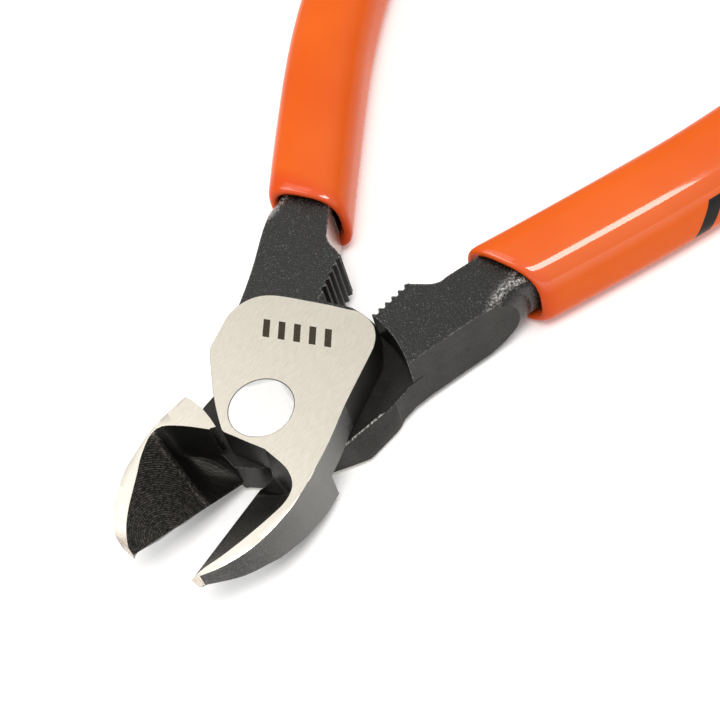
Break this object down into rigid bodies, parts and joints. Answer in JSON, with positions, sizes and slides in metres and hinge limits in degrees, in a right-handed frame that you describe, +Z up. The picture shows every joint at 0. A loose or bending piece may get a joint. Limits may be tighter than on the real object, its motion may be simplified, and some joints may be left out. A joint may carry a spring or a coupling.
{
  "type": "diagonal cutting pliers",
  "caption": "Lap-joint diagonal cutting pliers with a ground head, a flush rivet, serrated shoulders and dipped vinyl grips, for snipping wire and cable.",
  "frame": {"origin": "centre of the rivet's lower face, on the hinge axis", "axes": "+X towards the handles between the two grips, +Y towards the upper half's handle, +Z up along the hinge axis towards the ground lap face"},
  "size_m": [0.1535, 0.1056, 0.0134],
  "materials": {
    "upper_steel": "ground and finely brushed on the lap face, blackened forging elsewhere",
    "lower_steel": "blackened forging with a ground jaw face",
    "rivet_steel": "ground bright",
    "upper_vinyl": "glossy dipped vinyl",
    "lower_vinyl": "glossy dipped vinyl"
  },
  "bodies": {
    "upper": {"upper_half": "upper_steel", "pivot_rivet": "rivet_steel", "upper_grip": "upper_vinyl"},
    "lower": {"lower_half": "lower_steel", "lower_grip": "lower_vinyl"}
  },
  "joints": [
    {"name": "pivot", "type": "hinge", "parent": "upper", "child": "lower", "pos_m": [0, 0, 0], "axis": [0, 0, 1], "range_deg": [-3, 20]}
  ]
}
